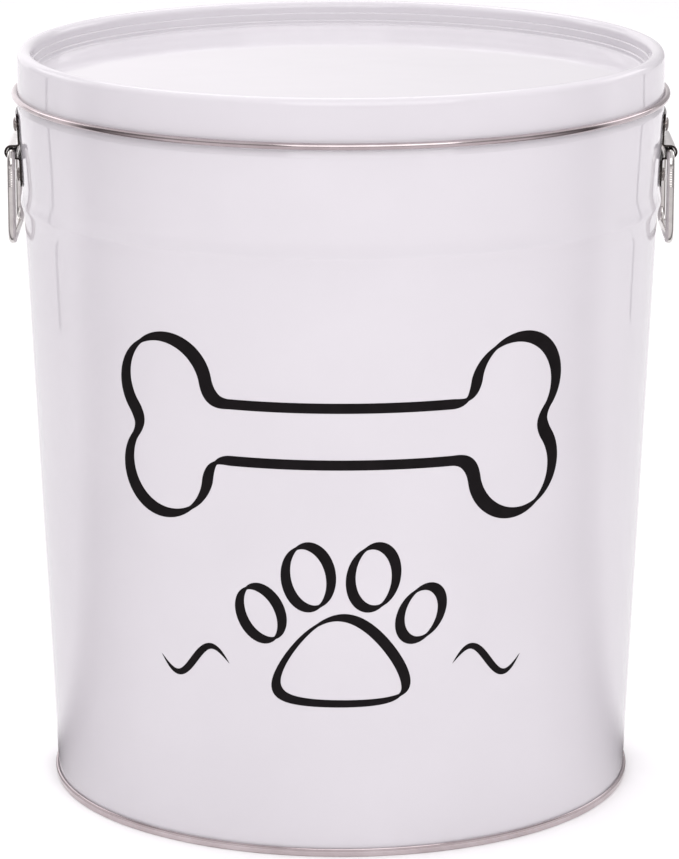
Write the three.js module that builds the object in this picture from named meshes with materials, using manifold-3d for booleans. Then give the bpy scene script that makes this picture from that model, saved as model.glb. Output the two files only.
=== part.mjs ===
// A slip-lid tin bin for dry pet food: a tapered can with a seamed-on bottom, a lid that drops
// over its necked mouth, and two wire bails that hang in ears riveted to its sides.
// Millimetres, +Z up, origin at the middle of the foot, +X through the right-hand ear.

import * as THREE from "three";
import { mergeVertices } from "three/addons/utils/BufferGeometryUtils.js";
import Module from "manifold-3d";

// Sheet and clearances. A seam gap lies between two rings turned on the same facets.
const SHEET = 0.4;
const GAP = 0.3;
const SEAM_GAP = 0.15;
const RING_FACETS = 48;
const SMALL_FACETS = 12;

// Can wall: its outer radius grows from FOOT_RADIUS at the floor by WALL_SLOPE per unit of height.
const FOOT_RADIUS = 166.9;
const WALL_SLOPE = 0.0447;
const SEAM_HEIGHT = 4.8;
const RIDGE_Z = 342;
const RIDGE_HALF_WIDTH = 10.9;
const RIDGE_HEIGHT = 1.5;

// Mouth: a shoulder steps in to a straight neck that ends in an inward curl.
const SHOULDER_Z = 397.2;
const NECK_Z = 400.8;
const NECK_RADIUS = 183.6;
const MOUTH_CURL_Z = 424.6;
const MOUTH_CURL_RADIUS = 1.5;

// Bottom end: a panel with a raised middle, set up inside the seam.
const PANEL_Z = 5.2;
const RAISED_PANEL_Z = 6.8;
const RAISED_PANEL_RADIUS = 144;
const STEP_WIDTH = 3.5;

// Lid: a sunk panel, two ledges up to a round rim, and a skirt that ends in an outward curl.
const LID_PANEL_Z = 415;
const LID_PANEL_RADIUS = 172.3;
const LEDGES = [[174.6, 417.2], [175.4, 417.5], [175.8, 421.2], [176.2, 421.7]];
const RIM_CENTRE_Z = 424.8;
const RIM_RADIUS = 4.2;
const SKIRT_RADIUS = 184.4;
const LID_CURL_Z = 403.7;
const LID_CURL_RADIUS = 1.9;
const LID_OUTER_RADIUS = 188;
const LID_CURL_END = 450;

// Ears: stamped plates that follow the can, with a straight bulge that holds the bail's bar.
const EAR_SHEET = 1.2;
const EAR_WIDTH = 52;
const EAR_HEIGHT = 42;
const EAR_CORNER = 6;
const EAR_FILLET = 1.1;
const EAR_STEPS = 8;

// Bails: round wire on an axis that lies along Y through the ear's bulge.
const WIRE_RADIUS = 2.35;
const WIRE_SIDES = 8;
const WIRE_STEPS = 60;
const BAIL_X = 187;
const BAIL_Z = 372;
const BAIL_HALF_WIDTH = 31.6;
const BAIL_DROP = 50.8;
const BAIL_TOP_BEND = 7;
const BAIL_BOTTOM_BEND = 9;
const BUTT_GAP = 1.5;
const BULGE_RADIUS = WIRE_RADIUS + 0.65 + EAR_SHEET / 2;

// Rivets: four to an ear, each closed over a backing washer inside the can. Heights along a
// rivet are measured outwards from the can's outer surface.
const RIVET_Y = 16;
const RIVET_DZ = 14.5;
const SHANK_RADIUS = 2;
const HOLE_RADIUS = 2.4;
const HEAD_RADIUS = 4;
const HEAD_HEIGHT = 1.65;
const TAIL_RADIUS = 3.2;
const TAIL_HEIGHT = 1.3;
const WASHER_RADIUS = 4.5;
const WASHER_THICKNESS = 0.8;
const WASHER_FACE = -1;

const WHITE_ENAMEL = { color: 0xe9e4ea, roughness: 0.22, metalness: 0 };
const BARE_TIN = { color: 0xc4b9bb, roughness: 0.3, metalness: 1 };
const BRIGHT_PLATE = { color: 0xd6d3d2, roughness: 0.12, metalness: 1 };
const SEALING_COMPOUND = { color: 0x6f6a62, roughness: 0.8, metalness: 0 };

const wasm = await Module();
wasm.setup();

// Geometry helpers.

function point(r, z) {
  return new THREE.Vector2(r, z);
}

// Points on an arc about (r, z), both ends included, angles in degrees from the +r direction.
function arc(r, z, radius, from, to, steps) {
  return Array.from({ length: steps + 1 }, (_, i) => {
    const angle = THREE.MathUtils.degToRad(from + ((to - from) * i) / steps);
    return point(r + radius * Math.cos(angle), z + radius * Math.sin(angle));
  });
}

// One face of a sheet whose mid-line is given, moved sideways by half the sheet with mitred corners.
function faceOf(midline, offset) {
  return midline.map((here, i) => {
    const before = midline[Math.max(i - 1, 0)];
    const after = midline[Math.min(i + 1, midline.length - 1)];
    const into = here.clone().sub(before).normalize();
    const out = after.clone().sub(here).normalize();
    const first = i === 0 ? out : into;
    const second = i === midline.length - 1 ? into : out;
    const side = point(first.y + second.y, -first.x - second.x);
    return here.clone().addScaledVector(side, offset / (1 + first.dot(second)));
  });
}

// The closed outline of a sheet of even thickness, drawn counter-clockwise.
function sheetOutline(midline, thickness) {
  const near = faceOf(midline, thickness / 2);
  const far = faceOf(midline, -thickness / 2);
  const outline = [...near, ...far.reverse()];
  return THREE.ShapeUtils.area(outline) > 0 ? outline : outline.reverse();
}

// A ring or disc turned about Z from a counter-clockwise outline of radius and height.
function turned(outline, facets = RING_FACETS) {
  const closed = outline[0].x === 0 && outline.at(-1).x === 0 ? outline : [...outline, outline[0]];
  return new THREE.LatheGeometry(closed, facets).rotateX(Math.PI / 2);
}

function toSolid(geometry) {
  const bare = geometry.clone();
  bare.deleteAttribute("normal");
  bare.deleteAttribute("uv");
  const merged = mergeVertices(bare, 1e-4);
  const index = merged.index.array;
  const kept = [];
  for (let i = 0; i < index.length; i += 3) {
    const [a, b, c] = index.slice(i, i + 3);
    if (a !== b && b !== c && c !== a) kept.push(a, b, c);
  }
  const mesh = new wasm.Mesh({
    numProp: 3,
    vertProperties: merged.attributes.position.array,
    triVerts: Uint32Array.from(kept),
  });
  return new wasm.Manifold(mesh);
}

function toGeometry(solid) {
  const mesh = solid.getMesh();
  const geometry = new THREE.BufferGeometry();
  geometry.setAttribute("position", new THREE.BufferAttribute(mesh.vertProperties, 3));
  geometry.setIndex(new THREE.BufferAttribute(mesh.triVerts, 1));
  geometry.computeVertexNormals();
  return geometry;
}

function piece(name, geometry, finish) {
  const mesh = new THREE.Mesh(geometry, new THREE.MeshStandardMaterial(finish));
  mesh.name = name;
  return mesh;
}

function wallRadius(z) {
  return FOOT_RADIUS + WALL_SLOPE * z;
}

// Where a rivet stands on the can: its place on the outer surface, and the turn that takes +Z
// to the wall's outward normal. side is +1 for the right-hand ear and -1 for the left.
function rivetPlace(side, y, z) {
  const radius = wallRadius(z);
  const x = side * Math.sqrt(radius ** 2 - y ** 2);
  const normal = new THREE.Vector3(x / radius, y / radius, -WALL_SLOPE).normalize();
  const turn = new THREE.Quaternion().setFromUnitVectors(new THREE.Vector3(0, 0, 1), normal);
  return new THREE.Matrix4().compose(new THREE.Vector3(x, y, z), turn, new THREE.Vector3(1, 1, 1));
}

const RIVETS = [["left", -1], ["right", 1]].flatMap(([hand, side]) =>
  [["upper", RIVET_DZ], ["lower", -RIVET_DZ]].flatMap(([level, dz]) =>
    [["front", -RIVET_Y], ["back", RIVET_Y]].map(([end, y]) => ({
      name: `${hand}_${level}_${end}`,
      place: rivetPlace(side, y, BAIL_Z + dz),
    })),
  ),
);

// Sub-parts.

// The can's wall. From the outside in, the bottom seam holds the end's seaming wall, this hook,
// the end's hook, this wall and the end's chuck wall.
function bodyShell() {
  const half = SHEET / 2;
  const wall = FOOT_RADIUS;
  const pitch = SHEET + SEAM_GAP;
  const turnZ = SHEET + SEAM_GAP + half;
  const turnChamfer = 0.2;
  const mid = (z, lift = 0) => point(wallRadius(z) - half + lift, z);
  const flank = RIDGE_HALF_WIDTH / 2;
  const midline = [
    point(wall + 2 * pitch, SEAM_HEIGHT - SHEET - 2 * half),
    point(wall + 2 * pitch, turnZ + turnChamfer),
    point(wall + 2 * pitch - turnChamfer, turnZ),
    point(wall + turnChamfer, turnZ),
    point(wall, turnZ + turnChamfer),
    mid(SEAM_HEIGHT),
    mid(RIDGE_Z - RIDGE_HALF_WIDTH),
    mid(RIDGE_Z - flank, RIDGE_HEIGHT / 4),
    mid(RIDGE_Z, RIDGE_HEIGHT),
    mid(RIDGE_Z + flank, RIDGE_HEIGHT / 4),
    mid(RIDGE_Z + RIDGE_HALF_WIDTH),
    mid(SHOULDER_Z),
    point(NECK_RADIUS - half, NECK_Z),
    ...arc(NECK_RADIUS - MOUTH_CURL_RADIUS, MOUTH_CURL_Z, MOUTH_CURL_RADIUS - half, 0, 270, 6),
  ];
  const shell = toSolid(turned(sheetOutline(midline, SHEET)));
  const drill = new THREE.CylinderGeometry(HOLE_RADIUS, HOLE_RADIUS, 12, SMALL_FACETS).rotateX(Math.PI / 2);
  const holes = RIVETS.map(({ place }) => toSolid(drill.clone().applyMatrix4(place)));
  return toGeometry(holes.reduce((body, hole) => body.subtract(hole), shell));
}

// The bottom end: its rim is rolled round the can's hook, and the turn below is the foot.
function bottomEnd() {
  const half = SHEET / 2;
  const pitch = SHEET + SEAM_GAP;
  const chuck = FOOT_RADIUS - pitch;
  const outer = FOOT_RADIUS + 3 * pitch;
  const hook = FOOT_RADIUS + pitch;
  const chamfer = 0.4;
  const top = SEAM_HEIGHT - half;
  const hookTip = 2.2;
  const midline = [
    point(0, RAISED_PANEL_Z),
    point(RAISED_PANEL_RADIUS, RAISED_PANEL_Z),
    point(RAISED_PANEL_RADIUS + STEP_WIDTH, PANEL_Z),
    point(chuck - 2 * chamfer, PANEL_Z),
    point(chuck, PANEL_Z - 2 * chamfer),
    point(chuck, half + chamfer),
    point(chuck + chamfer, half),
    point(outer - chamfer, half),
    point(outer, half + chamfer),
    point(outer, top - chamfer),
    point(outer - chamfer, top),
    point(hook + chamfer, top),
    point(hook, top - chamfer),
    point(hook, hookTip),
  ];
  return turned(sheetOutline(midline, SHEET));
}

// The sealing compound cured in the fold of the can's hook, under the end's hook.
function seamCompound() {
  const inner = FOOT_RADIUS + SHEET / 2 + SEAM_GAP;
  const outer = inner + SHEET;
  const low = 1.15;
  const high = 1.95;
  return turned([point(inner, low), point(outer, low), point(outer, high), point(inner, high)]);
}

function lid() {
  const half = SHEET / 2;
  const midline = [
    point(0, LID_PANEL_Z - half),
    point(LID_PANEL_RADIUS, LID_PANEL_Z - half),
    point(LID_PANEL_RADIUS + 1.2, LID_PANEL_Z + half),
    ...LEDGES.map(([r, z]) => point(r, z)),
    ...arc(SKIRT_RADIUS - RIM_RADIUS, RIM_CENTRE_Z, RIM_RADIUS - half, 180, 0, 6),
    ...arc(LID_OUTER_RADIUS - LID_CURL_RADIUS, LID_CURL_Z, LID_CURL_RADIUS - half, 180, LID_CURL_END, 6),
  ];
  return turned(sheetOutline(midline, SHEET));
}

// A stamped ear, right-hand side. Its section is extruded along Y, then the plate is bent round
// the can while the bulge stays straight, so that the bail's bar can turn in it.
function ear() {
  const low = BAIL_Z - EAR_HEIGHT / 2;
  const high = BAIL_Z + EAR_HEIGHT / 2;
  const plate = (z) => point(wallRadius(z) + GAP + EAR_SHEET / 2, z);
  const flank = plate(BAIL_Z).x + EAR_FILLET;
  const midline = [
    plate(low),
    plate(BAIL_Z - BULGE_RADIUS - EAR_FILLET),
    point(flank, BAIL_Z - BULGE_RADIUS),
    ...arc(BAIL_X, BAIL_Z, BULGE_RADIUS, -90, 90, 6),
    point(flank, BAIL_Z + BULGE_RADIUS),
    plate(BAIL_Z + BULGE_RADIUS + EAR_FILLET),
    plate(high),
  ];
  const section = new THREE.Shape(sheetOutline(midline, EAR_SHEET));
  const options = { depth: EAR_WIDTH, steps: EAR_STEPS, bevelEnabled: false };
  const blank = new THREE.ExtrudeGeometry(section, options);
  blank.rotateX(Math.PI / 2).translate(0, EAR_WIDTH / 2, 0);
  const position = blank.attributes.position;
  for (let i = 0; i < position.count; i += 1) {
    const y = position.getY(i);
    const radius = wallRadius(position.getZ(i));
    const face = radius + GAP + EAR_SHEET;
    const rise = THREE.MathUtils.clamp((position.getX(i) - face) / (BAIL_X - face), 0, 1);
    const sag = radius - Math.sqrt(radius ** 2 - y ** 2);
    position.setX(i, position.getX(i) - (1 - rise) * sag);
  }
  const drill = new THREE.CylinderGeometry(HOLE_RADIUS, HOLE_RADIUS, 12, SMALL_FACETS).rotateX(Math.PI / 2);
  const rightHand = RIVETS.filter(({ name }) => name.startsWith("right"));
  const holes = rightHand.map(({ place }) => toSolid(drill.clone().applyMatrix4(place)));
  const trimmed = toSolid(blank).intersect(earOutline(low));
  return toGeometry(holes.reduce((body, hole) => body.subtract(hole), trimmed));
}

// The ear's outline seen from outside: a rectangle with round corners, extruded along X.
function earOutline(low) {
  const w = EAR_WIDTH / 2;
  const corner = (y, z, from) => arc(y, z, EAR_CORNER, from, from + 90, 4);
  const outline = [
    ...corner(w - EAR_CORNER, low + EAR_HEIGHT - EAR_CORNER, 0),
    ...corner(EAR_CORNER - w, low + EAR_HEIGHT - EAR_CORNER, 90),
    ...corner(EAR_CORNER - w, low + EAR_CORNER, 180),
    ...corner(w - EAR_CORNER, low + EAR_CORNER, 270),
  ];
  const depth = 40;
  const block = new THREE.ExtrudeGeometry(new THREE.Shape(outline), { depth, bevelEnabled: false });
  block.rotateX(Math.PI / 2).rotateZ(Math.PI / 2);
  return toSolid(block.translate(BAIL_X - depth / 2, 0, 0));
}

// A quarter bend from one point to another, both tangents towards the corner between them.
function bend(from, corner, to) {
  const roundness = 0.5523;
  const first = from.clone().lerp(corner, roundness);
  const second = to.clone().lerp(corner, roundness);
  return new THREE.CubicBezierCurve3(from, first, second, to);
}

// A bail: one length of wire bent to a rounded rectangle, its ends butted inside the ear.
function bail() {
  const w = BAIL_HALF_WIDTH;
  const top = BAIL_Z;
  const bottom = BAIL_Z - BAIL_DROP;
  const at = (y, z) => new THREE.Vector3(BAIL_X, y, z);
  const path = new THREE.CurvePath();
  const run = (from, to) => path.add(new THREE.LineCurve3(from, to));
  run(at(BUTT_GAP / 2, top), at(w - BAIL_TOP_BEND, top));
  path.add(bend(at(w - BAIL_TOP_BEND, top), at(w, top), at(w, top - BAIL_TOP_BEND)));
  run(at(w, top - BAIL_TOP_BEND), at(w, bottom + BAIL_BOTTOM_BEND));
  path.add(bend(at(w, bottom + BAIL_BOTTOM_BEND), at(w, bottom), at(w - BAIL_BOTTOM_BEND, bottom)));
  run(at(w - BAIL_BOTTOM_BEND, bottom), at(BAIL_BOTTOM_BEND - w, bottom));
  path.add(bend(at(BAIL_BOTTOM_BEND - w, bottom), at(-w, bottom), at(-w, bottom + BAIL_BOTTOM_BEND)));
  run(at(-w, bottom + BAIL_BOTTOM_BEND), at(-w, top - BAIL_TOP_BEND));
  path.add(bend(at(-w, top - BAIL_TOP_BEND), at(-w, top), at(BAIL_TOP_BEND - w, top)));
  run(at(BAIL_TOP_BEND - w, top), at(-BUTT_GAP / 2, top));
  const section = new THREE.Shape(arc(0, 0, WIRE_RADIUS, 0, 360, WIRE_SIDES).slice(0, -1));
  return new THREE.ExtrudeGeometry(section, { steps: WIRE_STEPS, extrudePath: path });
}

function rivet() {
  const seat = GAP + EAR_SHEET + SEAM_GAP;
  const tail = WASHER_FACE - WASHER_THICKNESS - SEAM_GAP;
  const outline = [
    point(0, tail - TAIL_HEIGHT),
    point(TAIL_RADIUS * 0.75, tail - TAIL_HEIGHT),
    point(TAIL_RADIUS, tail - TAIL_HEIGHT / 2),
    point(TAIL_RADIUS, tail),
    point(SHANK_RADIUS, tail),
    point(SHANK_RADIUS, seat),
    point(HEAD_RADIUS, seat),
    point(HEAD_RADIUS * 0.85, seat + HEAD_HEIGHT * 0.6),
    point(HEAD_RADIUS * 0.5, seat + HEAD_HEIGHT * 0.92),
    point(0, seat + HEAD_HEIGHT),
  ];
  return turned(outline, SMALL_FACETS).rotateZ(Math.PI / 2);
}

function washer() {
  const back = WASHER_FACE - WASHER_THICKNESS;
  const outline = [
    point(HOLE_RADIUS, back),
    point(WASHER_RADIUS, back),
    point(WASHER_RADIUS, WASHER_FACE),
    point(HOLE_RADIUS, WASHER_FACE),
  ];
  return turned(outline, SMALL_FACETS).rotateZ(Math.PI / 2);
}

// Assembly.

function side(hand, turn) {
  const group = new THREE.Group();
  group.add(piece(`${hand}_ear`, ear(), BRIGHT_PLATE));
  group.add(piece(`${hand}_bail`, bail(), BRIGHT_PLATE));
  group.rotation.z = turn;
  return group;
}

const bin = new THREE.Group();
bin.add(piece("body_shell", bodyShell(), WHITE_ENAMEL));
bin.add(piece("bottom_end", bottomEnd(), BARE_TIN));
bin.add(piece("seam_compound", seamCompound(), SEALING_COMPOUND));
bin.add(piece("lid", lid(), WHITE_ENAMEL));
bin.add(side("right", 0));
bin.add(side("left", Math.PI));
for (const { name, place } of RIVETS) {
  const fastening = new THREE.Group();
  fastening.add(piece(`${name}_rivet`, rivet(), BRIGHT_PLATE));
  fastening.add(piece(`${name}_washer`, washer(), BARE_TIN));
  fastening.applyMatrix4(place);
  bin.add(fastening);
}

export default bin;
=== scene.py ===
import math

import bmesh
import bpy
import numpy as np
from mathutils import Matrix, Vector


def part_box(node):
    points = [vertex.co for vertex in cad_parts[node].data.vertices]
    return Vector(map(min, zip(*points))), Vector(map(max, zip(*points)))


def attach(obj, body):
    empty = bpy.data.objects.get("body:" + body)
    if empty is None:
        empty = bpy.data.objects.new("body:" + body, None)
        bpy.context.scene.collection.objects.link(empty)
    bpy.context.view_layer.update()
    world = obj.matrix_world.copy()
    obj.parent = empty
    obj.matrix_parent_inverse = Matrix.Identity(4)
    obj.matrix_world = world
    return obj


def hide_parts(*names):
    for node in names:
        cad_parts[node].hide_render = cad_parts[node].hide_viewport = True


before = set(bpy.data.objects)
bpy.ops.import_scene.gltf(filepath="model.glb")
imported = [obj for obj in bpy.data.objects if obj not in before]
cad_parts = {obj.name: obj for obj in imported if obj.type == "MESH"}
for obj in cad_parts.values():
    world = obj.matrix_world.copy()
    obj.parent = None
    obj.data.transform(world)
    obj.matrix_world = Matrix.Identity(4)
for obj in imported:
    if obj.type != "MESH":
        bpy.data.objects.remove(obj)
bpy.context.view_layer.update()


# ---- Camera ----
# A long lens stands well back and a little above the lid, so the bin's sides stay nearly
# parallel and its round top shows as a flat ellipse.
MM = 0.001  # this file's sizes are in millimetres, and its meshes are in metres
CAMERA_SIDE, CAMERA_BACK, CAMERA_HEIGHT = -0.8, 2431, 805
CAMERA_DOWN = 13.9  # degrees
LENS, FILM_HEIGHT = 180, 36

scene = bpy.context.scene
camera_data = bpy.data.cameras.new("camera")
camera_data.sensor_fit = "VERTICAL"
camera_data.sensor_height = FILM_HEIGHT
camera_data.lens = LENS
camera = bpy.data.objects.new("camera", camera_data)
scene.collection.objects.link(camera)
camera.location = Vector((CAMERA_SIDE, -CAMERA_BACK, CAMERA_HEIGHT)) * MM
camera.rotation_euler = (math.radians(90 - CAMERA_DOWN), 0, 0)
scene.camera = camera
scene.view_settings.view_transform = "Standard"


# ---- Floor and light ----
# A white studio: a pale floor that runs out of sight and soft lamps above. Grey cloth hangs round
# its front half, glowing sheets behind and a thin dark stand at each side: they show only as
# reflections, which gloss enamel and polished metal both pick up.
FLOOR_HALF = 9000
ROOM_WHITE, SHEET_WHITE, ROOM_GLOW = "#FFFDFF", "#FFFCFE", 0.84
ROOM_HALF, ROOM_BACK, ROOM_HEIGHT = 3500, 4400, 2600
CLOTH_BACK, CLOTH_LIFT = 1500, 3
CLOTH_GONE, CLOTH_WHOLE, CLOTH_FRONT = -0.35, -0.05, 0.5  # cosines of the angle from the front
GLOW_LOW, GLOW_HEIGHT, GLOW = 1700, 1600, 2.2
BACK_HALF, BACK_LEFT_GLOW, BACK_RIGHT_GLOW = 1500, 1.3, 0.5
STAND_HEIGHT = 330


def linear(hex_colour):
    """An sRGB hex value as linear red, green, blue and full cover: each channel by the sRGB curve."""
    channels = np.array([int(hex_colour[i : i + 2], 16) for i in (1, 3, 5)]) / 255
    curve = np.where(channels <= 0.04045, channels / 12.92, ((channels + 0.055) / 1.055) ** 2.4)
    return (*curve.tolist(), 1.0)


def add(tree, kind, inputs=None, **settings):
    """Adds one node with its settings. Each of inputs is a value, or an output to link from."""
    node = tree.nodes.new("ShaderNode" + kind)
    for name, value in settings.items():
        setattr(node, name, value)
    for socket, value in (inputs or {}).items():
        if isinstance(value, bpy.types.NodeSocket):
            tree.links.new(value, node.inputs[socket])
        else:
            node.inputs[socket].default_value = value
    return node


def blank_material(name):
    """A material with an empty tree."""
    made = bpy.data.materials.new(name)
    made.use_nodes = True
    made.node_tree.nodes.clear()
    return made, made.node_tree


def grain(tree, size, detail=2.0, place=None):
    """A noise from 0 to 1 with blotches about size millimetres across, fixed to the piece. Its
    detail is how many finer layers it has."""
    place = place or add(tree, "TexCoord").outputs["Object"]
    inputs = {"Vector": place, "Scale": 1 / (size * MM), "Detail": detail, "Roughness": 0.55}
    return add(tree, "TexNoise", inputs).outputs["Fac"]


def between(tree, amount, low, high):
    """The middle of a noise's range, where nearly all of it lies, spread from low to high."""
    inputs = {"Value": amount, "From Min": 0.3, "From Max": 0.7, "To Min": low, "To Max": high}
    return add(tree, "MapRange", inputs).outputs["Result"]


def two_tone(tree, amount, dark, light):
    """A colour that drifts from dark to light, both sRGB hex, as amount goes from 0 to 1."""
    inputs = {"Factor": amount, 6: linear(dark), 7: linear(light)}
    return add(tree, "Mix", inputs, data_type="RGBA").outputs[2]


def painted_board():
    """Matt white board: chalky, with a faint drift in its tone."""
    made, tree = blank_material("matt_white_board")
    colour = two_tone(tree, between(tree, grain(tree, 40), 0, 1), "#F9F8F9", "#FCFBFC")
    shader = add(tree, "BsdfPrincipled", {"Base Color": colour, "Roughness": 0.85})
    add(tree, "OutputMaterial", {"Surface": shader.outputs[0]})
    return made


floor_mesh = bpy.data.meshes.new("floor")
floor_corners = np.array([(-1, -1, 0), (1, -1, 0), (1, 1, 0), (-1, 1, 0)]) * FLOOR_HALF * MM
floor_mesh.from_pydata(floor_corners.tolist(), [], [(0, 1, 2, 3)])
floor_mesh.materials.append(painted_board())
floor = bpy.data.objects.new("floor", floor_mesh)
scene.collection.objects.link(floor)

world = bpy.data.worlds.new("white_studio")
scene.world = world
world.use_nodes = True
background = world.node_tree.nodes["Background"]
background.inputs["Color"].default_value = linear(ROOM_WHITE)
background.inputs["Strength"].default_value = ROOM_GLOW


def softbox(name, place, target, width, height, watts):
    """A flat rectangular lamp that faces target."""
    data = bpy.data.lights.new(name, "AREA")
    data.shape = "RECTANGLE"
    data.size, data.size_y = width * MM, height * MM
    data.energy = watts
    lamp = bpy.data.objects.new(name, data)
    scene.collection.objects.link(lamp)
    lamp.location = Vector(place) * MM
    lamp.rotation_euler = (Vector(target) - Vector(place)).to_track_quat("-Z", "Y").to_euler()
    return lamp


def lit_card(name, shade, brightness=1.0):
    """Card or sheet of one shade and brightness."""
    made, tree = blank_material(name)
    shader = add(tree, "Emission", {"Color": linear(shade), "Strength": brightness})
    add(tree, "OutputMaterial", {"Surface": shader.outputs[0]})
    return made


def drape(name, side_shade, front_shade):
    """Cloth hung round the studio's front half. What counts is the cosine of the angle between a
    point of it and the front, seen from above: from 0 to CLOTH_FRONT it takes the shade from the
    sides' to the front's, and from CLOTH_WHOLE down to CLOTH_GONE it thins the cloth to white."""
    made, tree = blank_material(name)
    level = {0: add(tree, "TexCoord").outputs["Object"], 1: (1, 1, 0)}
    level = add(tree, "VectorMath", level, operation="MULTIPLY").outputs[0]
    way = add(tree, "VectorMath", {0: level}, operation="NORMALIZE").outputs[0]
    ahead = add(tree, "VectorMath", {0: way, 1: (0, -1, 0)}, operation="DOT_PRODUCT").outputs["Value"]
    inputs = {"Value": ahead, "From Min": CLOTH_GONE, "From Max": CLOTH_WHOLE}
    cover = add(tree, "MapRange", inputs, interpolation_type="SMOOTHSTEP").outputs[0]
    frontness = add(tree, "MapRange", {"Value": ahead, "From Max": CLOTH_FRONT}).outputs[0]
    shade = two_tone(tree, frontness, side_shade, front_shade)
    inputs = {"Factor": cover, 6: linear(ROOM_WHITE), 7: shade}
    colour = add(tree, "Mix", inputs, data_type="RGBA").outputs[2]
    shader = add(tree, "Emission", {"Color": colour})
    add(tree, "OutputMaterial", {"Surface": shader.outputs[0]})
    return made


def back_sheet():
    """White sheet lit from the left: its glow falls evenly from one side of its middle to the other."""
    made, tree = blank_material("back_sheet")
    place = add(tree, "SeparateXYZ", {0: add(tree, "TexCoord").outputs["Object"]}).outputs
    inputs = {
        "Value": place[0],
        "From Min": -BACK_HALF * MM,
        "From Max": BACK_HALF * MM,
        "To Min": BACK_LEFT_GLOW,
        "To Max": BACK_RIGHT_GLOW,
    }
    falling = add(tree, "MapRange", inputs).outputs[0]
    shader = add(tree, "Emission", {"Color": linear(SHEET_WHITE), "Strength": falling})
    add(tree, "OutputMaterial", {"Surface": shader.outputs[0]})
    return made


def hung(name, corner, along, up, made):
    """A flat piece of studio gear, from one corner and two sides. It shows only in reflections."""
    corner, along, up = (np.array(v, float) * MM for v in (corner, along, up))
    corners = np.stack([corner, corner + along, corner + along + up, corner + up])
    mesh = bpy.data.meshes.new(name)
    mesh.from_pydata(corners.tolist(), [], [(0, 1, 2, 3)])
    mesh.materials.append(made)
    card = bpy.data.objects.new(name, mesh)
    scene.collection.objects.link(card)
    card.visible_camera = card.visible_diffuse = card.visible_shadow = False


overhead = softbox("overhead", (-300, 300, 2600), (0, 0, 200), width=2600, height=2600, watts=26)
overhead.visible_glossy = False
softbox("front_key", (500, -2600, 1900), (0, 0, 250), width=3200, height=2400, watts=40)
softbox("back_fill", (-300, 2000, 2900), (0, 0, 250), width=2200, height=1600, watts=18)

room_width, room_high = (2 * ROOM_HALF, 0, 0), (0, 0, ROOM_HEIGHT)
cloth_deep = (0, ROOM_HALF + CLOTH_BACK, 0)
wall_cloth = drape("wall_cloth", "#6E696B", "#A5A1A3")
hung("front_wall", (-ROOM_HALF, -ROOM_HALF, 0), room_width, room_high, wall_cloth)
hung("left_wall", (-ROOM_HALF, -ROOM_HALF, 0), cloth_deep, room_high, wall_cloth)
hung("right_wall", (ROOM_HALF, -ROOM_HALF, 0), cloth_deep, room_high, wall_cloth)
floor_cloth = drape("floor_cloth", "#5F5A5C", "#F0ECEE")
hung("floor_cloth", (-ROOM_HALF, -ROOM_HALF, CLOTH_LIFT), room_width, cloth_deep, floor_cloth)

glow_deep, glow_high = (0, ROOM_BACK - CLOTH_BACK, 0), (0, 0, GLOW_HEIGHT)
glowing_sheet = lit_card("glowing_sheet", SHEET_WHITE, GLOW)
hung("left_glow", (-ROOM_HALF, CLOTH_BACK, GLOW_LOW), glow_deep, glow_high, glowing_sheet)
hung("right_glow", (ROOM_HALF, CLOTH_BACK, GLOW_LOW), glow_deep, glow_high, glowing_sheet)
hung("back_sheet", (-ROOM_HALF, ROOM_BACK, 0), room_width, room_high, back_sheet())

stand_high = (0, 0, STAND_HEIGHT)
dark_stand = lit_card("dark_stand", "#1C191A")
hung("left_stand", (-1028, 526, 0), (22, 32, 0), stand_high, dark_stand)
hung("right_stand", (956, 711, 0), (22, -23, 0), stand_high, dark_stand)


# ---- Can wall ----
# Tinplate, roller-coated with white enamel on one face while flat, rolled up, welded down the
# back, expanded to a taper and beaded with a ridge that stops nested cans jamming.
SHEET, FOLD_GAP = 0.4, 0.15
SEAM_HEIGHT, HOOK_BEND, WALL_BEND = 4.8, 0.5, 3
SHOULDER_Z, NECK_Z, NECK_STEP, NECK_BEND = 397.2, 400.8, 1.05, 2.5
CURL, CURL_TURN = 1.5, 290  # radius, and degrees rolled through
RIDGE_Z, RIDGE_HALF, RIDGE_HEIGHT, RIDGE_CREST = 342.0, 10.9, 1.5, 0.07
WELD_ANGLE, BARE_HALF, WELD_HALF, WELD_HEIGHT = math.pi / 2, 4.5, 0.6, 0.12
STIFF_FOOT, FOOT_FADE, NECK_FADE = 10, 50, 40
COLUMNS = 300  # points round the bin
MEETING = 1e-7  # metres
SHARP = 40  # degrees


def arc(r, z, radius, start, end, steps):
    """Points on a circle about (r, z) whose angle runs evenly from start to end, in degrees."""
    t = np.radians(np.linspace(start, end, steps + 1))
    return np.stack([r + radius * np.cos(t), z + radius * np.sin(t)], 1)


def bent(corners, radii, steps=6):
    """Straight runs joined by round bends. A bend's centre lies on the corner's bisector, radius
    over the sine of half its angle away, and the bend sweeps evenly between its two touching points."""
    corners = np.asarray(corners, float)
    path = [corners[:1]]
    for before, here, after, radius in zip(corners, corners[1:], corners[2:], radii):
        back = (before - here) / np.linalg.norm(before - here)
        on = (after - here) / np.linalg.norm(after - here)
        half = np.arccos(np.clip(back @ on, -1, 1)) / 2
        middle = here + (back + on) / np.linalg.norm(back + on) * radius / np.sin(half)
        first = here + back * radius / np.tan(half) - middle
        last = here + on * radius / np.tan(half) - middle
        turn = np.pi - 2 * half
        t = np.linspace(0, 1, steps + 1)[:, None]
        sweep = np.sin((1 - t) * turn) * first + np.sin(t * turn) * last
        path.append(middle + sweep / np.sin(turn))
    path.append(corners[-1:])
    return np.vstack(path)


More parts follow.
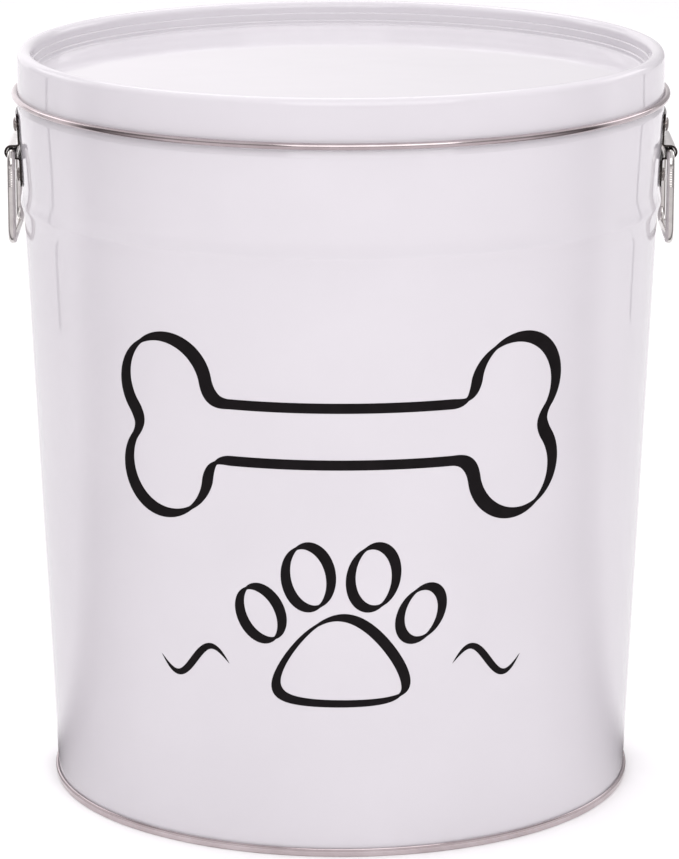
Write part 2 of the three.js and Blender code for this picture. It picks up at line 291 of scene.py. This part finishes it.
def filled(path, reach):
    """The path's points, with even ones added between any two that lie further apart than reach."""
    gaps = np.linalg.norm(np.diff(path, axis=0), axis=1)
    parts = np.maximum(1, np.ceil(gaps / reach)).astype(int)
    starts = np.repeat(np.arange(len(parts)), parts)
    within = np.arange(parts.sum()) - np.repeat(np.cumsum(parts) - parts, parts)
    at = np.append(starts + within / parts[starts], len(parts))
    return np.stack([np.interp(at, np.arange(len(path)), column) for column in path.T], 1)


def sheet(path, thickness):
    """The closed outline of a bent sheet: its mid-line moved to its right by half the thickness,
    then back along its left. A point moves along the sum of its two runs' normals, divided by one
    plus the cosine of the turn between them, so the sheet keeps its thickness in a bend."""
    runs = np.diff(path, axis=0)
    runs /= np.linalg.norm(runs, axis=1)[:, None]
    into, out = np.vstack([runs[:1], runs]), np.vstack([runs, runs[-1:]])
    both = into + out
    right = np.stack([both[:, 1], -both[:, 0]], 1) / (1 + (into * out).sum(1))[:, None]
    return np.vstack([path + right * thickness / 2, (path - right * thickness / 2)[::-1]])


def turned(outline, angles):
    """The grid of a turned piece: the point (r, z) at angle t is (r cos t, r sin t, z)."""
    r, z = outline[:, 0, None], outline[:, 1, None]
    return np.stack([r * np.cos(angles), r * np.sin(angles), z + 0 * angles], -1)


def skinned(name, grids, wrap=(True, True), finishes=0):
    """A mesh over grids of points: each four neighbours make a face. wrap says whether the rows
    and the columns close on themselves, and finishes numbers each face's material. Points that
    meet, as at a pole, are merged."""
    work = bmesh.new()
    for grid in grids:
        rows, cols = grid.shape[:2]
        index = np.arange(rows * cols).reshape(rows, cols)
        index = np.vstack([index, index[:1]]) if wrap[0] else index
        index = np.hstack([index, index[:, :1]]) if wrap[1] else index
        quads = np.stack([index[:-1, :-1], index[:-1, 1:], index[1:, 1:], index[1:, :-1]], -1)
        mesh = bpy.data.meshes.new(name)
        mesh.from_pydata((grid.reshape(-1, 3) * MM).tolist(), [], quads.reshape(-1, 4).tolist())
        numbers = np.broadcast_to(finishes, quads.shape[:2]).ravel().astype(np.int32)
        mesh.polygons.foreach_set("material_index", numbers)
        work.from_mesh(mesh)
        bpy.data.meshes.remove(mesh)
    bmesh.ops.remove_doubles(work, verts=work.verts, dist=MEETING)
    made = bpy.data.meshes.new(name)
    work.to_mesh(made)
    work.free()
    return made


def shown(mesh, body, materials, nodes=()):
    """Shows a mesh with the given materials, riding on a body and standing for CAD nodes, which it
    hides.
    """
    for material in materials:
        mesh.materials.append(material)
    mesh.shade_smooth()
    mesh.set_sharp_from_angle(angle=math.radians(SHARP))
    made = bpy.data.objects.new(mesh.name, mesh)
    scene.collection.objects.link(made)
    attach(made, body)
    if nodes:
        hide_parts(*nodes)
    return made


def stoved_enamel():
    """Gloss white enamel, roller-coated on the flat sheet and stoved. It gives a bright, clear
    reflection, softened by an orange peel of 1.8 mm and by the 28 mm waves that thin sheet keeps."""
    made, tree = blank_material("stoved_white_enamel")
    colour = two_tone(tree, between(tree, grain(tree, 90), 0, 1), "#CBC7CC", "#CECACF")
    peel = add(tree, "Bump", {"Height": grain(tree, 1.8, 1), "Strength": 0.05, "Distance": 0.05 * MM})
    inputs = {"Height": grain(tree, 28, 1), "Strength": 0.12, "Distance": 0.5 * MM}
    waves = add(tree, "Bump", inputs | {"Normal": peel.outputs[0]})
    inputs = {
        "Base Color": colour,
        "Roughness": between(tree, grain(tree, 14, 3), 0.03, 0.07),
        "IOR": 1.52,
        "Normal": waves.outputs[0],
    }
    shader = add(tree, "BsdfPrincipled", inputs)
    add(tree, "OutputMaterial", {"Surface": shader.outputs[0]})
    return made


def round_the_axis(tree, size):
    """Radius, height, and the turn round the bin drawn out so far that a noise forms hoops: at a
    blotch of size millimetres, a hoop runs on for a third of a radian."""
    place = add(tree, "SeparateXYZ", {0: add(tree, "TexCoord").outputs["Object"]}).outputs
    turn = add(tree, "Math", {0: place[1], 1: place[0]}, operation="ARCTAN2").outputs[0]
    square = add(tree, "Math", {0: place[0], 1: place[0]}, operation="MULTIPLY").outputs[0]
    inputs = {0: place[1], 1: place[1], 2: square}
    square = add(tree, "Math", inputs, operation="MULTIPLY_ADD").outputs[0]
    radius = add(tree, "Math", {0: square}, operation="SQRT").outputs[0]
    slow = add(tree, "Math", {0: turn, 1: 3 * size * MM}, operation="MULTIPLY").outputs[0]
    return add(tree, "CombineXYZ", {0: radius, 1: place[2], 2: slow}).outputs[0]


def tinplate(name, dark, light, clear, dull):
    """Bare tinplate: rolled steel with its tin melted smooth, from clear to dull in roughness. It
    has the hoops that forming rolls leave, drawn at 0.5 mm because real ones are too fine to show."""
    made, tree = blank_material(name)
    hoops = grain(tree, 0.5, 2, round_the_axis(tree, 0.5))
    colour = two_tone(tree, between(tree, grain(tree, 22, 3), 0, 1), dark, light)
    lines = add(tree, "Bump", {"Height": hoops, "Strength": 0.12, "Distance": 0.05 * MM})
    inputs = {
        "Base Color": colour,
        "Metallic": 1.0,
        "Roughness": between(tree, hoops, clear, dull),
        "Normal": lines.outputs[0],
    }
    shader = add(tree, "BsdfPrincipled", inputs)
    add(tree, "OutputMaterial", {"Surface": shader.outputs[0]})
    return made


enamel = stoved_enamel()
tin = tinplate("bright_tinplate", "#B9ADAF", "#C9BEC0", 0.08, 0.15)
inner_tin = tinplate("dulled_tinplate", "#DDD9D8", "#EBE7E6", 0.28, 0.38)

can_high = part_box("body_shell")[1] / MM
end_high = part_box("bottom_end")[1] / MM
half, fold = SHEET / 2, SHEET + FOLD_GAP
foot_radius = end_high.x - half - 3 * fold
slope = (can_high.x - foot_radius) / SHOULDER_Z


def wall_radius(z):
    """The can's outer radius, which grows evenly with height."""
    return foot_radius + slope * z


def strayed(angle, z):
    """How far the thin wall strays from a true cone: three slow sine waves round the can that
    drift with height and fade out where the seam below and the neck above hold it round."""
    held = np.clip((z - STIFF_FOOT) / FOOT_FADE, 0, 1) * np.clip((SHOULDER_Z - z) / NECK_FADE, 0, 1)
    waves = 0.06 * np.sin(3 * angle + z / 70) + 0.04 * np.sin(7 * angle - z / 45 + 2)
    return held * (waves + 0.02 * np.sin(13 * angle + z / 30 + 4))


def ridge(z):
    """The ridge's height: each flank is a parabola that ends flat, and a small round joins them."""
    t = np.sqrt(((z - RIDGE_Z) / RIDGE_HALF) ** 2 + RIDGE_CREST**2) - RIDGE_CREST
    return RIDGE_HEIGHT * np.clip(1 - t, 0, 1) ** 2


fold_z = SHEET + FOLD_GAP + half
neck = can_high.x - NECK_STEP - half
ridge_z = RIDGE_Z + RIDGE_HALF * np.linspace(-1, 1, 27)
ridge_path = np.stack([wall_radius(ridge_z) - half + ridge(ridge_z), ridge_z], 1)
foot_corners = [
    (foot_radius + 2 * fold, SEAM_HEIGHT - 2 * SHEET),
    (foot_radius + 2 * fold, fold_z),
    (foot_radius, fold_z),
    (foot_radius, SEAM_HEIGHT),
    ridge_path[0],
]
mouth_corners = [
    ridge_path[-1],
    (wall_radius(SHOULDER_Z) - half, SHOULDER_Z),
    (neck, NECK_Z),
    (neck, can_high.z - CURL),
]
curl = arc(neck + half - CURL, can_high.z - CURL, CURL - half, 0, CURL_TURN, 18)
foot = bent(foot_corners, [HOOK_BEND, HOOK_BEND, WALL_BEND])
mouth = bent(mouth_corners, [NECK_BEND, NECK_BEND])
can_path = filled(np.vstack([foot[:-1], ridge_path, mouth[1:], curl[1:]]), reach=12)

# The columns lie closer by the weld: these distances from its middle, then evenly round the can.
off_weld = np.array([0.2, 0.4, 0.6, 1.0, BARE_HALF, 6])
near_weld = np.concatenate([-off_weld[::-1], [0], off_weld]) / can_high.x
far_angles = WELD_ANGLE + np.linspace(near_weld[-1], 2 * np.pi - near_weld[-1], COLUMNS)[1:-1]
can_angles = np.concatenate([WELD_ANGLE + near_weld, far_angles])
from_weld = ((can_angles - WELD_ANGLE + np.pi) % (2 * np.pi) - np.pi) * can_high.x
can_grid = turned(sheet(can_path, SHEET), can_angles)
weld = WELD_HEIGHT * np.exp(-((from_weld / WELD_HALF) ** 4))
proud = strayed(can_angles, can_grid[:, :, 2]) + weld
outward = np.stack([np.cos(can_angles), np.sin(can_angles), 0 * can_angles], -1)

# The first rows of faces are the outside: enamel, but for the bare stripe along the weld. The
# rest are the raw edges and the inside.
can_finish = np.ones((2 * len(can_path), len(can_angles)), int)
outside = len(can_path) - 1
can_finish[:outside] = 0
furthest = np.maximum(np.abs(from_weld), np.abs(np.roll(from_weld, -1)))
can_finish[:outside, furthest < BARE_HALF + 0.1] = 2
can_mesh = skinned("enamelled_can", [can_grid + proud[:, :, None] * outward], finishes=can_finish)
shown(can_mesh, "bin", [enamel, inner_tin, tin], ["body_shell"])


# ---- Bottom end ----
# A disc of bare tinplate with a raised middle and an expansion bead. Its rim is rolled round
# the can's hook and ironed flat: the bright ring that the bin stands on.
RAISED_Z, RAISED_RADIUS, LOW_Z, STEP_WIDTH, HOOK_TIP = 6.8, 144.0, 5.2, 3.5, 2.2
BEAD_RADIUS, BEAD_HALF, BEAD_DEPTH = 112.0, 5.0, 0.9
STEP_BEND, CHUCK_BEND, SEAM_BEND, FOLD_BEND = 3, 0.9, 0.7, 0.52

# The bead is a groove of one raised cosine.
bead_at = np.linspace(-1, 1, 15)
bead_z = RAISED_Z - BEAD_DEPTH * (0.5 + 0.5 * np.cos(np.pi * bead_at))
bead_path = np.stack([BEAD_RADIUS + BEAD_HALF * bead_at, bead_z], 1)
seam_corners = [
    bead_path[-1],
    (RAISED_RADIUS, RAISED_Z),
    (RAISED_RADIUS + STEP_WIDTH, LOW_Z),
    (foot_radius - fold, LOW_Z),
    (foot_radius - fold, half),
    (foot_radius + 3 * fold, half),
    (foot_radius + 3 * fold, SEAM_HEIGHT - half),
    (foot_radius + fold, SEAM_HEIGHT - half),
    (foot_radius + fold, HOOK_TIP),
]
seam_bends = [STEP_BEND, STEP_BEND, CHUCK_BEND, SEAM_BEND, SEAM_BEND, FOLD_BEND, FOLD_BEND]
seam_path = bent(seam_corners, seam_bends)
end_path = filled(np.vstack([[(0, RAISED_Z)], bead_path, seam_path[1:]]), reach=20)
ring_angles = np.linspace(0, 2 * np.pi, COLUMNS, endpoint=False)
end_finish = np.zeros((2 * len(end_path) - 1, 1), int)
end_finish[len(end_path) :] = 1  # the side that faces into the can
end_grid = turned(sheet(end_path, SHEET), ring_angles)
end_mesh = skinned("rolled_bottom", [end_grid], (False, True), end_finish)
shown(end_mesh, "bin", [tin, inner_tin], ["bottom_end"])


# ---- Seam lining ----
# Rubbery compound, run into the end's curl before seaming and cured there. It fills the fold
# of the can's hook and makes the bottom tight.
def lining_compound():
    """Cured lining compound: dull warm grey rubber with a fine pebble."""
    made, tree = blank_material("lining_compound")
    pebble = grain(tree, 0.4, 3)
    bump = add(tree, "Bump", {"Height": pebble, "Strength": 0.5, "Distance": 0.05 * MM})
    colour = two_tone(tree, between(tree, pebble, 0, 1), "#5B564F", "#77716A")
    inputs = {"Base Color": colour, "Roughness": 0.75, "Normal": bump.outputs[0]}
    shader = add(tree, "BsdfPrincipled", inputs)
    add(tree, "OutputMaterial", {"Surface": shader.outputs[0]})
    return made


lining_low, lining_high = (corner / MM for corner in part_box("seam_compound"))
lining_rise = (lining_high.z - lining_low.z) / 2
lining = arc(0, 0, 1, 0, 360, 14)[:-1] * (half, lining_rise)
lining += (lining_high.x - half, lining_low.z + lining_rise)
lining_mesh = skinned("seam_lining", [turned(lining, ring_angles)])
shown(lining_mesh, "bin", [lining_compound()], ["seam_compound"])


# ---- Print on the front ----
# A bone, a paw and two flourishes, screen printed in black enamel before the sheet is rolled.
# The ink is 0.07 mm proud, several times its real thickness, so that it stays clear of the wall.
INK, INK_EDGE, INK_ROOT = 0.07, 0.03, -0.04
BONE_Z, BONE_KNOB, BONE_KNOB_X, BONE_KNOB_Z, BONE_WAIST = 243, 27, 100, 24, 16
BONE_POINTS, BONE_SOFT = 520, 8  # a corner is averaged over this many points on each side
PAW_Z, PAD_HALF, PAD_RISE, PAD_TAPER, PAD_HEEL = 110, 36, 25, 0.2, 5
TOES = [(18, 53, 12.5, 18, 8), (45, 31, 11, 16, 26)]  # out, up, half width, half height, lean
PEN_ANGLE, PEN_THIN, PEN_BROAD, PAW_PEN = 35, 1.1, 3.1, 0.75  # degrees, two half widths, a scale
SWASH_START, SWASH_LENGTH, SWASH_RISE, SWASH_HALF = 64, 44, 9, 2.2


def on_wall(u, z, lift):
    """The point u millimetres round the wall from the middle of its front, at height z, lifted."""
    angle = u / wall_radius((BONE_Z + PAW_Z) / 2) - np.pi / 2
    r = wall_radius(z) + strayed(angle, z) + lift
    return np.stack([r * np.cos(angle), r * np.sin(angle), z + 0 * angle], -1)


def pen_stroke(path, way, half_width):
    """A stroke's grid: at each point of the path a closed flat section lies across the way it
    runs, from minus to plus the half width there. Its edges are rounded down, and its root is
    sunk in the wall."""
    along = way / np.linalg.norm(way, axis=1)[:, None]
    across = np.array([-1, -0.96, -0.5, 0, 0.5, 0.96, 1, 1, 0, -1])[None, :]
    lift = np.array([INK_EDGE, INK, INK, INK, INK, INK, INK_EDGE, INK_ROOT, INK_ROOT, INK_ROOT])
    width = np.asarray(half_width)[:, None] * across
    u = path[:, :1] + along[:, 1:] * width
    z = path[:, 1:] - along[:, :1] * width
    return on_wall(u, z, lift[None, :])


def pen_outline(loop, scale):
    """A stroke round a closed loop. Its half width is thin plus broad times the sine of the angle
    between the stroke and the pen's edge, which gives it the swell of a broad nib."""
    ring = np.vstack([loop[-1:], loop, loop[:1]])
    way = np.gradient(ring, axis=0)[1:-1]
    slant = np.arctan2(way[:, 1], way[:, 0]) - math.radians(PEN_ANGLE)
    half_width = scale * (PEN_THIN + PEN_BROAD * np.abs(np.sin(slant)))
    return pen_stroke(loop, way, half_width)


def oval(half_width, half_height, lean):
    """An oval that leans by so many degrees."""
    points = arc(0, 0, 1, 0, 360, 60)[:-1] * (half_width, half_height)
    c, s = np.cos(np.radians(lean)), np.sin(np.radians(lean))
    return points @ np.array([(c, s), (-s, c)])


def screen_ink():
    """Dead black screen ink: it takes in nearly all light, with faint marks of the screen's mesh."""
    made, tree = blank_material("black_screen_ink")
    colour = two_tone(tree, between(tree, grain(tree, 9, 3), 0, 1), "#0B0709", "#120D10")
    mesh_marks = grain(tree, 0.7, 1)
    bump = add(tree, "Bump", {"Height": mesh_marks, "Strength": 0.08, "Distance": 0.05 * MM})
    inputs = {
        "Base Color": colour,
        "Roughness": between(tree, grain(tree, 5, 3), 0.4, 0.55),
        "Specular IOR Level": 0.12,
        "Normal": bump.outputs[0],
    }
    shader = add(tree, "BsdfPrincipled", inputs)
    add(tree, "OutputMaterial", {"Surface": shader.outputs[0]})
    return made


ink = screen_ink()

# Half of one end is a straight waist and a round knob as far as the notch; it is turned over three
# times, and the corners are averaged out.
waist_angle = 180 + math.degrees(math.asin((BONE_KNOB_Z - BONE_WAIST) / BONE_KNOB))
notch_angle = -math.degrees(math.asin(BONE_KNOB_Z / BONE_KNOB))
knob = arc(BONE_KNOB_X, BONE_KNOB_Z, BONE_KNOB, waist_angle, notch_angle, 40)
upper_right = np.vstack([[(0, BONE_WAIST)], knob])
right_half = np.vstack([upper_right, (upper_right * (1, -1))[::-1]])
bone_corners = np.vstack([right_half, (right_half * (-1, 1))[::-1], right_half[:1]])
bone = filled(bone_corners, reach=0.8)
bone_run = np.append(0, np.cumsum(np.linalg.norm(np.diff(bone, axis=0), axis=1)))
bone_even = np.linspace(0, bone_run[-1], BONE_POINTS, endpoint=False)
bone = np.stack([np.interp(bone_even, bone_run, column) for column in bone.T], 1)
shifts = range(-BONE_SOFT, BONE_SOFT + 1)
bone = sum(np.roll(bone, shift, axis=0) for shift in shifts) / len(shifts)
bone_mesh = skinned("printed_bone", [pen_outline(bone + (0, BONE_Z), 1)])
shown(bone_mesh, "bin", [ink])

# The pad is an oval that narrows upwards and is flattened at its heel.
t = np.radians(np.linspace(0, 360, 96, endpoint=False))
pad_across = PAD_HALF * np.cos(t) * (1 - PAD_TAPER * np.sin(t))
pad_up = PAD_RISE * np.sin(t) - PAD_HEEL * np.cos(2 * t)
pads = [pen_outline(np.stack([pad_across, pad_up], 1) + (0, PAW_Z), PAW_PEN)]
for out, up, half_width, half_height, lean in TOES:
    for side in (-1, 1):
        toe = oval(half_width, half_height, -side * lean) + (side * out, PAW_Z + up)
        pads.append(pen_outline(toe, PAW_PEN))
shown(skinned("printed_paw", pads), "bin", [ink])

# Each flourish is one sine wave whose width swells from nothing to its middle.
t = np.linspace(0, 1, 90)
swash = np.stack([SWASH_START + SWASH_LENGTH * t, PAW_Z + SWASH_RISE * np.sin(2 * np.pi * t)], 1)
swash_half = SWASH_HALF * np.sin(np.pi * t) ** 0.8
swash_half[[0, -1]] = 0
swash_way = np.gradient(swash, axis=0)
swashes = [
    pen_stroke(swash, swash_way, swash_half),
    pen_stroke((swash * (-1, 1))[::-1], (swash_way * (1, -1))[::-1], swash_half),
]
shown(skinned("printed_flourishes", swashes, (False, True)), "bin", [ink])


# ---- Ears ----
# Each is stamped from nickel-plated strip and barrelled: a plate curved to the can, with a straight
# bulge pressed across it that the bail's top bar turns in. Its cut edges are bare, and painted near
# black for the shade and dark reflections along them.
EAR_SHEET, EAR_WIDTH, EAR_CORNER, EAR_FILLET, EAR_EDGE = 1.2, 52, 6, 1.1, 0.3
EAR_SHARP, EDGE_STEPS = 50, 3  # degrees from which an edge is barrelled, and the round's steps
EAR_GAP, BULGE_GAP = 0.3, 0.65
WIRE = 2.35  # the bail wire's radius


def nickel_plate(name, dark, light):
    """Nickel plate on steel: a clear, slightly warm mirror with cloudy patches and the fine
    pebble that barrel plating leaves, drawn at 0.6 mm so that it shows."""
    made, tree = blank_material(name)
    cloud = grain(tree, 6, 3)
    colour = two_tone(tree, between(tree, cloud, 0, 1), dark, light)
    bump = add(tree, "Bump", {"Height": grain(tree, 0.6, 2), "Strength": 0.10, "Distance": 0.05 * MM})
    inputs = {
        "Base Color": colour,
        "Metallic": 1.0,
        "Roughness": between(tree, cloud, 0.07, 0.16),
        "Normal": bump.outputs[0],
    }
    shader = add(tree, "BsdfPrincipled", inputs)
    add(tree, "OutputMaterial", {"Surface": shader.outputs[0]})
    return made


# The rivets take a darker copy of the ears' nickel: painted shade for the dark that their domes
# reflect.
shaded_rivet_nickel = nickel_plate("nickel_plate_painted_darker", "#8F8886", "#A8A19F")
# The cut edges take a near-black copy of the nickel: painted shade and painted dark reflection.
shaded_edge_paint = nickel_plate("edge_painted_shade", "#2B2625", "#453F3D")
nickel = nickel_plate("bright_nickel_plate", "#CFCBC9", "#DEDBD8")
ear_low, ear_high = (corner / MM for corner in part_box("right_ear"))
bail_low, bail_high = (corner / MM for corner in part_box("right_bail"))
bail_x = bail_high.x - WIRE
bail_z = (ear_low.z + ear_high.z) / 2
bulge = WIRE + BULGE_GAP + EAR_SHEET / 2


def ear_plate(z):
    """The plate's mid-line: it stands off the wall by the gap and half the plate."""
    return np.stack([wall_radius(z) + EAR_GAP + EAR_SHEET / 2, z], -1)


corner_turn = np.radians(np.linspace(0, 90, 9))
corner_z = ear_low.z + EAR_CORNER * (1 - np.cos(corner_turn))
below = ear_plate(np.array([corner_z[-1], bail_z - bulge]))
above = ear_plate(np.array([bail_z + bulge, ear_high.z - EAR_CORNER]))
ear_parts = [
    ear_plate(corner_z[:-1]),
    bent([*below, (bail_x, bail_z - bulge)], [EAR_FILLET])[:-1],
    arc(bail_x, bail_z, bulge, -90, 90, 20),
    bent([(bail_x, bail_z + bulge), *above], [EAR_FILLET])[1:],
    ear_plate(ear_low.z + ear_high.z - corner_z[-2::-1]),
]
ear_path = filled(np.vstack(ear_parts), reach=2)

# The ear's width follows its round corners. Where the plate lies on the can it sags back with the
# can's curve, by radius less the root of radius squared less y squared, and the bulge is straight.
x, z = ear_path[:, 0, None], ear_path[:, 1, None]
from_end = np.clip(EAR_CORNER - np.minimum(z - ear_low.z, ear_high.z - z), 0, EAR_CORNER)
y = np.linspace(-1, 1, 41) * (EAR_WIDTH / 2 - EAR_CORNER + np.sqrt(EAR_CORNER**2 - from_end**2))
flat = wall_radius(z) + EAR_GAP + EAR_SHEET / 2
rise = np.clip((x - flat) / (bail_x - flat), 0, 1)
sag = wall_radius(z) - np.sqrt(wall_radius(z) ** 2 - y**2)
ear_grid = np.stack([x - (1 - rise) * sag, y, z + 0 * y], -1)
for hand, side in (("right", 1), ("left", -1)):
    ear_mesh = skinned(f"{hand}_stamped_ear", [ear_grid * (side, side, 1)], (False, False))
    ear = shown(ear_mesh, "bin", [nickel, shaded_edge_paint], [f"{hand}_ear"])
    plate = ear.modifiers.new("plate", "SOLIDIFY")
    plate.thickness = EAR_SHEET * MM
    plate.offset = 0
    plate.use_even_offset = True
    # The rim faces are the cut edges. They take the second material, the nickel painted dark for shade.
    plate.material_offset_rim = 1
    edge = ear.modifiers.new("barrelled_edge", "BEVEL")
    edge.width = EAR_EDGE * MM
    edge.segments = EDGE_STEPS
    edge.limit_method = "ANGLE"
    edge.angle_limit = math.radians(EAR_SHARP)
    edge.harden_normals = True


# ---- Rivets and backing washers ----
# Four plated steel rivets hold each ear. The shank goes through ear, wall and a loose tinned
# washer, which spreads the load on the thin sheet, and its end is closed to a low button.
RIVET_Y, RIVET_RISE = 16, 14.5
SHANK, HEAD, HEAD_LIP, HEAD_EDGE, HEAD_HEIGHT = 2, 4, 0.12, 0.35, 1.65
TAIL, TAIL_HEIGHT = 3.2, 1.3
WASHER_HOLE, WASHER, WASHER_FACE, WASHER_THICK, WASHER_ROUND = 2.4, 4.5, -1.0, 0.8, 0.15

seat = EAR_GAP + EAR_SHEET + FOLD_GAP
tail = WASHER_FACE - WASHER_THICK - FOLD_GAP
head_dome = arc(0, 0, 1, 0, 90, 14) * (HEAD, HEAD_HEIGHT - HEAD_EDGE) + (0, seat + HEAD_EDGE)
tail_dome = arc(0, 0, 1, -90, 0, 10) * (TAIL, TAIL_HEIGHT - HEAD_EDGE) + (0, tail - HEAD_EDGE)
head_dome[-1, 0] = tail_dome[0, 0] = 0
shank = [(TAIL, tail), (SHANK, tail), (SHANK, seat), (HEAD - HEAD_LIP, seat)]
rivet_outline = np.vstack([tail_dome, shank, head_dome])
in_r, out_r = WASHER_HOLE + WASHER_ROUND, WASHER - WASHER_ROUND
high_z, low_z = WASHER_FACE - WASHER_ROUND, WASHER_FACE - WASHER_THICK + WASHER_ROUND
washer_outline = np.vstack(
    [
        arc(out_r, high_z, WASHER_ROUND, 0, 90, 3),
        arc(in_r, high_z, WASHER_ROUND, 90, 180, 3),
        arc(in_r, low_z, WASHER_ROUND, 180, 270, 3),
        arc(out_r, low_z, WASHER_ROUND, 270, 360, 3),
    ]
)
small_angles = np.linspace(0, 2 * np.pi, 40, endpoint=False)


def driven(outline, side, y, z):
    """A turned piece set on the wall at y and z: its axis is the wall's own normal, its heights
    count from the wall's outer face, and its two other directions are level and up the wall."""
    radius = wall_radius(z)
    x = side * math.sqrt(radius**2 - y**2)
    normal = np.array([x / radius, y / radius, -slope])
    normal /= np.linalg.norm(normal)
    level = np.array([-y, x, 0]) / radius
    directions = np.stack([level, np.cross(normal, level), normal])
    return turned(outline, small_angles) @ directions + (x, y, z)


for hand, side in (("right", 1), ("left", -1)):
    for level, rise in (("upper", RIVET_RISE), ("lower", -RIVET_RISE)):
        for end, y in (("front", -RIVET_Y), ("back", RIVET_Y)):
            name = f"{hand}_{level}_{end}"
            rivet = driven(rivet_outline, side, y, bail_z + rise)
            rivet_mesh = skinned(f"{name}_domed_rivet", [rivet], (False, True))
            shown(rivet_mesh, "bin", [shaded_rivet_nickel], [f"{name}_rivet"])
            washer = driven(washer_outline, side, y, bail_z + rise)
            washer_mesh = skinned(f"{name}_tinned_washer", [washer])
            shown(washer_mesh, "bin", [tin], [f"{name}_washer"])


# ---- Bails ----
# One length of nickel-plated wire each, bent to a rounded rectangle, with its ends butted
# inside the ear. The bending jaws have left a row of bites on the outside of each leg.
BAIL_HALF, TOP_BEND, BOTTOM_BEND, BUTT_HALF, BUTT_ROUND = 31.6, 7, 9, 0.75, 0.35
BITE_Z, BITE_SPAN, BITE_PITCH, BITE_DEPTH = 358.8, 11, 1.375, 0.3
BITE_SIDE = -70  # degrees from straight outwards, towards the front leg's front

bar_z = bail_low.z + WIRE
bail_corners = [
    (bail_x, BUTT_HALF, bail_z),
    (bail_x, BAIL_HALF, bail_z),
    (bail_x, BAIL_HALF, bar_z),
    (bail_x, -BAIL_HALF, bar_z),
    (bail_x, -BAIL_HALF, bail_z),
    (bail_x, -BUTT_HALF, bail_z),
]
bail_bends = [TOP_BEND, BOTTOM_BEND, BOTTOM_BEND, TOP_BEND]
wire_path = filled(bent(bail_corners, bail_bends, steps=12), reach=0.25)
wire_run = np.append(0, np.cumsum(np.linalg.norm(np.diff(wire_path, axis=0), axis=1)))
wire_way = np.gradient(wire_path, wire_run, axis=0)
wire_way /= np.linalg.norm(wire_way, axis=1)[:, None]
from_butt = np.minimum(wire_run, wire_run[-1] - wire_run)
butt = BUTT_ROUND - np.sqrt(BUTT_ROUND**2 - np.clip(BUTT_ROUND - from_butt, 0, BUTT_ROUND) ** 2)
wire_radius = np.concatenate([[0], WIRE - butt, [0]])[:, None]
wire_path, wire_way = (np.vstack([rows[:1], rows, rows[-1:]]) for rows in (wire_path, wire_way))

# A bite is one raised cosine along the leg, and its depth goes as the square of the cosine of the
# angle from the side that the jaws pressed.
around = np.radians(np.linspace(0, 360, 20, endpoint=False))[None, :]
leg = np.clip(1 - ((wire_path[:, 2] - BITE_Z) / (BITE_SPAN / 2)) ** 8, 0, 1)[:, None]
bites = 0.5 - 0.5 * np.cos(2 * np.pi * (wire_path[:, 2:] - BITE_Z) / BITE_PITCH)
facing = np.clip(np.cos(around - math.radians(BITE_SIDE)), 0, 1) ** 2
girth = wire_radius - BITE_DEPTH * leg * bites * facing * (wire_radius > 0)
outwards = np.array([1.0, 0, 0])
sideways = np.cross(wire_way, outwards)
bail_grid = wire_path[:, None] + girth[..., None] * (
    np.cos(around)[..., None] * outwards + np.sin(around)[..., None] * sideways[:, None]
)
for hand, side in (("right", 1), ("left", -1)):
    bail_mesh = skinned(f"{hand}_wire_bail", [bail_grid * (side, side, 1)], (False, True))
    shown(bail_mesh, f"{hand}_bail", [nickel], [f"{hand}_bail"])


# ---- Slip lid ----
# One pressing of the enamelled sheet: a sunk panel, two small ledges, a round rim that rests on
# the can's curl, and a skirt. Its raw edge is curled outwards, so the bare side shows there.
PANEL_DEPTH, PANEL_RADIUS = 14.0, 174.3
LEDGES = [(174.5, 417.5), (175.3, 417.75), (175.5, 421.75), (176.2, 422.05)]
PANEL_BEND, LEDGE_BEND = 1.5, 0.32
RIM, SKIRT_STEP, LID_CURL_Z, LID_CURL = 4.2, 3.6, 403.7, 1.9

lid_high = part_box("lid")[1] / MM
panel_z = lid_high.z - PANEL_DEPTH - half
rim_r, rim_z = lid_high.x - SKIRT_STEP - RIM, lid_high.z - RIM
lid_corners = [(0, panel_z), (PANEL_RADIUS, panel_z), *LEDGES, (LEDGES[-1][0], rim_z)]
lid_parts = [
    bent(lid_corners, [PANEL_BEND] + len(LEDGES) * [LEDGE_BEND])[:-1],
    arc(rim_r, rim_z, RIM - half, 180, 0, 18),
    arc(lid_high.x - LID_CURL, LID_CURL_Z, LID_CURL - half, 180, 500, 22),
]
lid_path = filled(np.vstack(lid_parts), reach=24)
lid_outline = sheet(lid_path, SHEET)
lid_finish = np.zeros((len(lid_outline) - 1, 1), int)
lid_finish[: len(lid_path)] = 1  # the side that faces the can, and comes outside in the curl
lid_mesh = skinned("slip_lid", [turned(lid_outline, ring_angles)], (False, True), lid_finish)
shown(lid_mesh, "lid", [enamel, tin], ["lid"])
